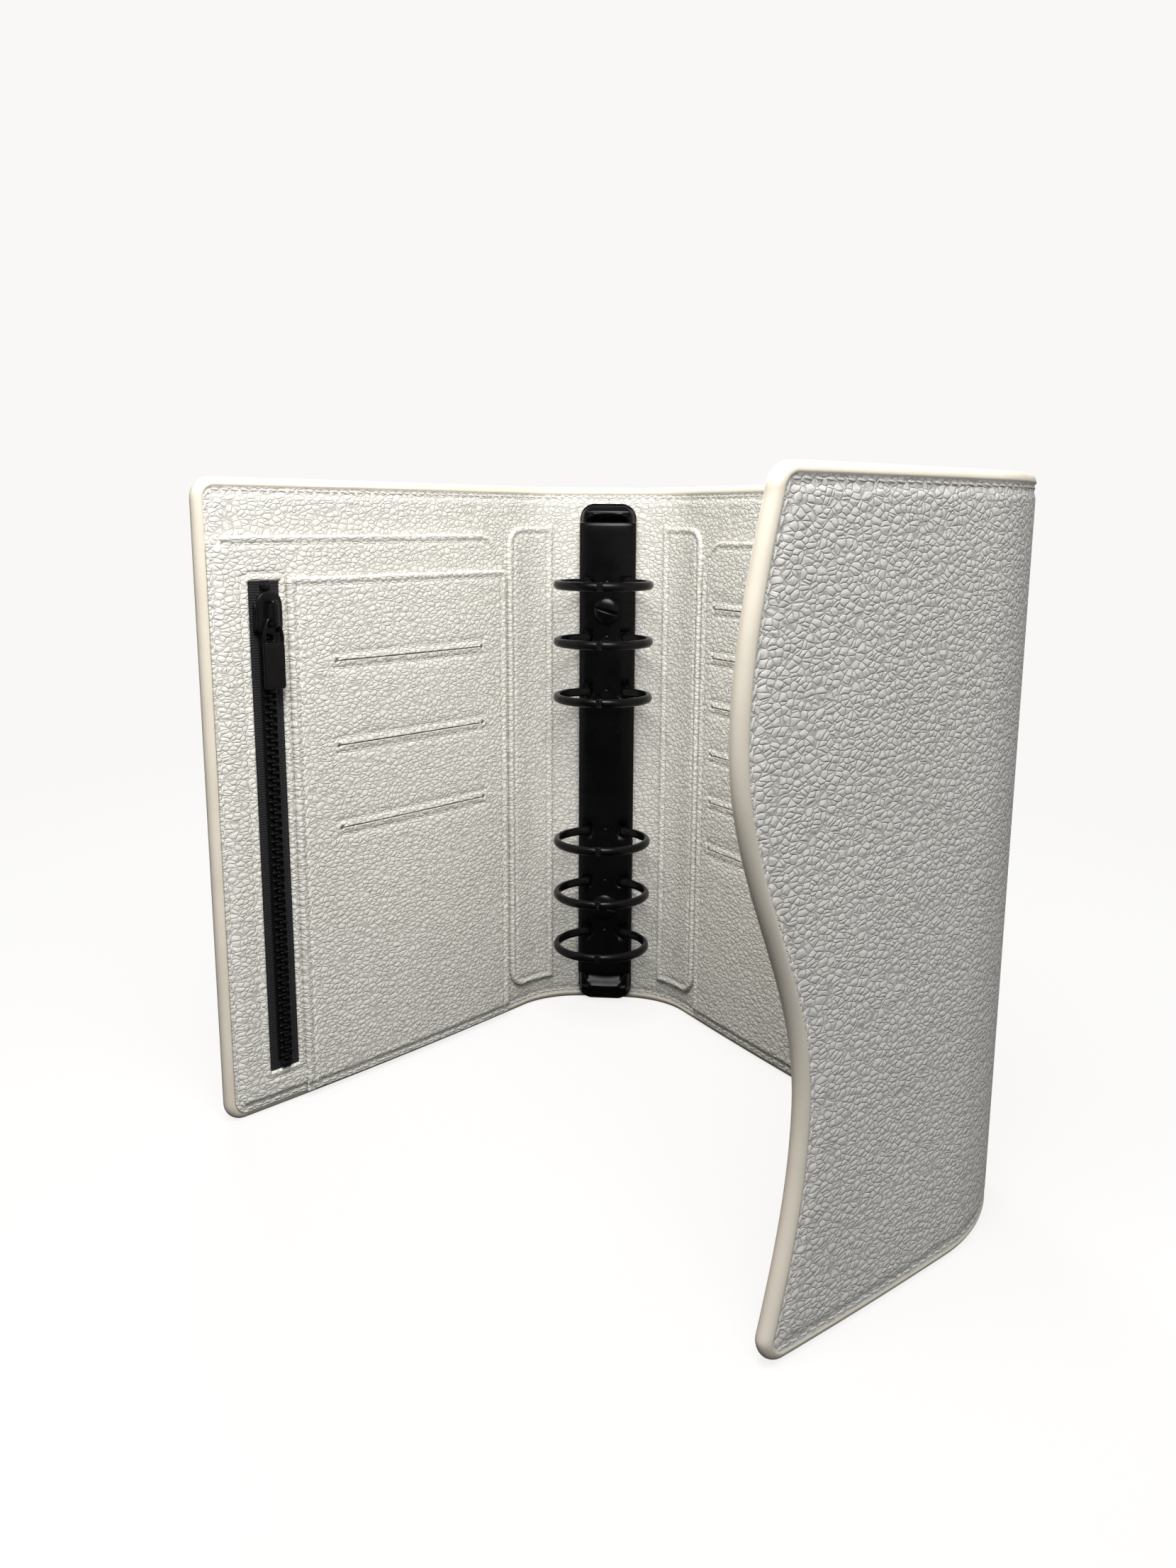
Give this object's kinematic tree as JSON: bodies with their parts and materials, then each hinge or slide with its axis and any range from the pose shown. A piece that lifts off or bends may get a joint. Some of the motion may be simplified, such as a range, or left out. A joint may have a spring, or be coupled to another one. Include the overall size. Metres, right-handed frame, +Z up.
{
  "type": "cash envelope wallet",
  "caption": "Off-white pebbled leather ring-binder wallet standing open, with a six-ring mechanism, a zip pocket, card pockets and a wrap-round flap.",
  "frame": {"origin": "middle of the spine's wall on the lower edge the wallet stands on", "axes": "+X to the back cover's side, +Y from the rings out through the spine, +Z up along the spine"},
  "size_m": [0.2204, 0.2275, 0.189],
  "materials": {
    "leather": "pebbled, satin",
    "lining": "pebbled, satin",
    "edge_paint": "smooth satin",
    "board": "matt",
    "black_metal": "satin black",
    "steel": "plain",
    "zip_tape": "woven"
  },
  "bodies": {
    "spine": {"spine_skin": "leather", "spine_board": "board", "spine_lining": "lining", "spine_edge_bottom": "edge_paint", "spine_edge_top": "edge_paint", "ring_arch": "black_metal", "upper_screw": "black_metal", "lower_screw": "black_metal", "upper_screw_post": "steel", "lower_screw_post": "steel"},
    "front_cover": {"front_cover_skin": "leather", "front_cover_board": "board", "front_cover_lining": "lining", "front_cover_edge": "edge_paint", "front_cover_magnet": "steel", "zip_pocket_panel": "leather", "front_card_panel": "leather", "left_strip": "leather", "zipper_tape_near": "zip_tape", "zipper_tape_far": "zip_tape", "zipper_teeth_near": "black_metal", "zipper_teeth_far": "black_metal", "zipper_stop_bottom": "black_metal", "zipper_stop_top": "black_metal"},
    "back_cover": {"back_cover_skin": "leather", "back_cover_board": "board", "back_cover_lining": "lining", "back_cover_edge_bottom": "edge_paint", "back_cover_edge_top": "edge_paint", "back_card_panel": "leather", "right_strip": "leather"},
    "gusset": {"gusset_skin": "leather", "gusset_board": "board", "gusset_lining": "lining", "gusset_edge_bottom": "edge_paint", "gusset_edge_top": "edge_paint"},
    "flap": {"flap_skin": "leather", "flap_board": "board", "flap_lining": "lining", "flap_edge": "edge_paint", "flap_magnet": "steel"},
    "left_rings": {"left_blade": "steel", "left_half_ring_1": "black_metal", "left_half_ring_2": "black_metal", "left_half_ring_3": "black_metal", "left_half_ring_4": "black_metal", "left_half_ring_5": "black_metal", "left_half_ring_6": "black_metal"},
    "right_rings": {"right_blade": "steel", "right_half_ring_1": "black_metal", "right_half_ring_2": "black_metal", "right_half_ring_3": "black_metal", "right_half_ring_4": "black_metal", "right_half_ring_5": "black_metal", "right_half_ring_6": "black_metal"},
    "upper_lever": {"upper_lever": "black_metal"},
    "lower_lever": {"lower_lever": "black_metal"},
    "slider": {"zipper_slider": "black_metal"},
    "pull": {"zipper_pull": "black_metal"}
  },
  "joints": [
    {"name": "front_cover_hinge", "type": "hinge", "parent": "spine", "child": "front_cover", "pos_m": [-0.02176, -0.00137, 0], "axis": [0, 0, 1], "range_deg": [-56, 35]},
    {"name": "back_cover_hinge", "type": "hinge", "parent": "spine", "child": "back_cover", "pos_m": [0.02176, -0.00137, 0], "axis": [0, 0, -1], "range_deg": [-56, 35]},
    {"name": "gusset_hinge", "type": "hinge", "parent": "back_cover", "child": "gusset", "pos_m": [0.10792, -0.117, 0], "axis": [0, 0, -1], "range_deg": [-45, 40]},
    {"name": "flap_hinge", "type": "hinge", "parent": "gusset", "child": "flap", "pos_m": [0.09425, -0.1725, 0], "axis": [0, 0, -1], "range_deg": [-30, 58]},
    {"name": "right_rings_open", "type": "hinge", "parent": "spine", "child": "right_rings", "pos_m": [0.0087, -0.00365, 0.0924], "axis": [0, 0, -1], "range_deg": [-15, 0]},
    {"name": "left_rings_open", "type": "hinge", "parent": "spine", "child": "left_rings", "pos_m": [-0.0087, -0.00365, 0.0924], "axis": [0, 0, -1], "range_deg": [0, 15]},
    {"name": "upper_lever_press", "type": "hinge", "parent": "spine", "child": "upper_lever", "pos_m": [0, -0.00315, 0.1769], "axis": [1, 0, 0], "range_deg": [-12, 0]},
    {"name": "lower_lever_press", "type": "hinge", "parent": "spine", "child": "lower_lever", "pos_m": [0, -0.00315, 0.0079], "axis": [1, 0, 0], "range_deg": [0, 12]},
    {"name": "zipper_slide", "type": "slide", "parent": "front_cover", "child": "slider", "axis": [0, 0, 1], "range_m": [-0.128, 0]},
    {"name": "pull_swing", "type": "hinge", "parent": "slider", "child": "pull", "pos_m": [-0.08745, -0.10547, 0.14965], "axis": [0.6051, 0.7962, 0], "range_deg": [-165, 0]}
  ],
  "couplings": [
    {"joint": "left_rings_open", "follows": "right_rings_open", "ratio": -1},
    {"joint": "upper_lever_press", "follows": "right_rings_open", "ratio": 0.8},
    {"joint": "lower_lever_press", "follows": "right_rings_open", "ratio": -0.8}
  ]
}
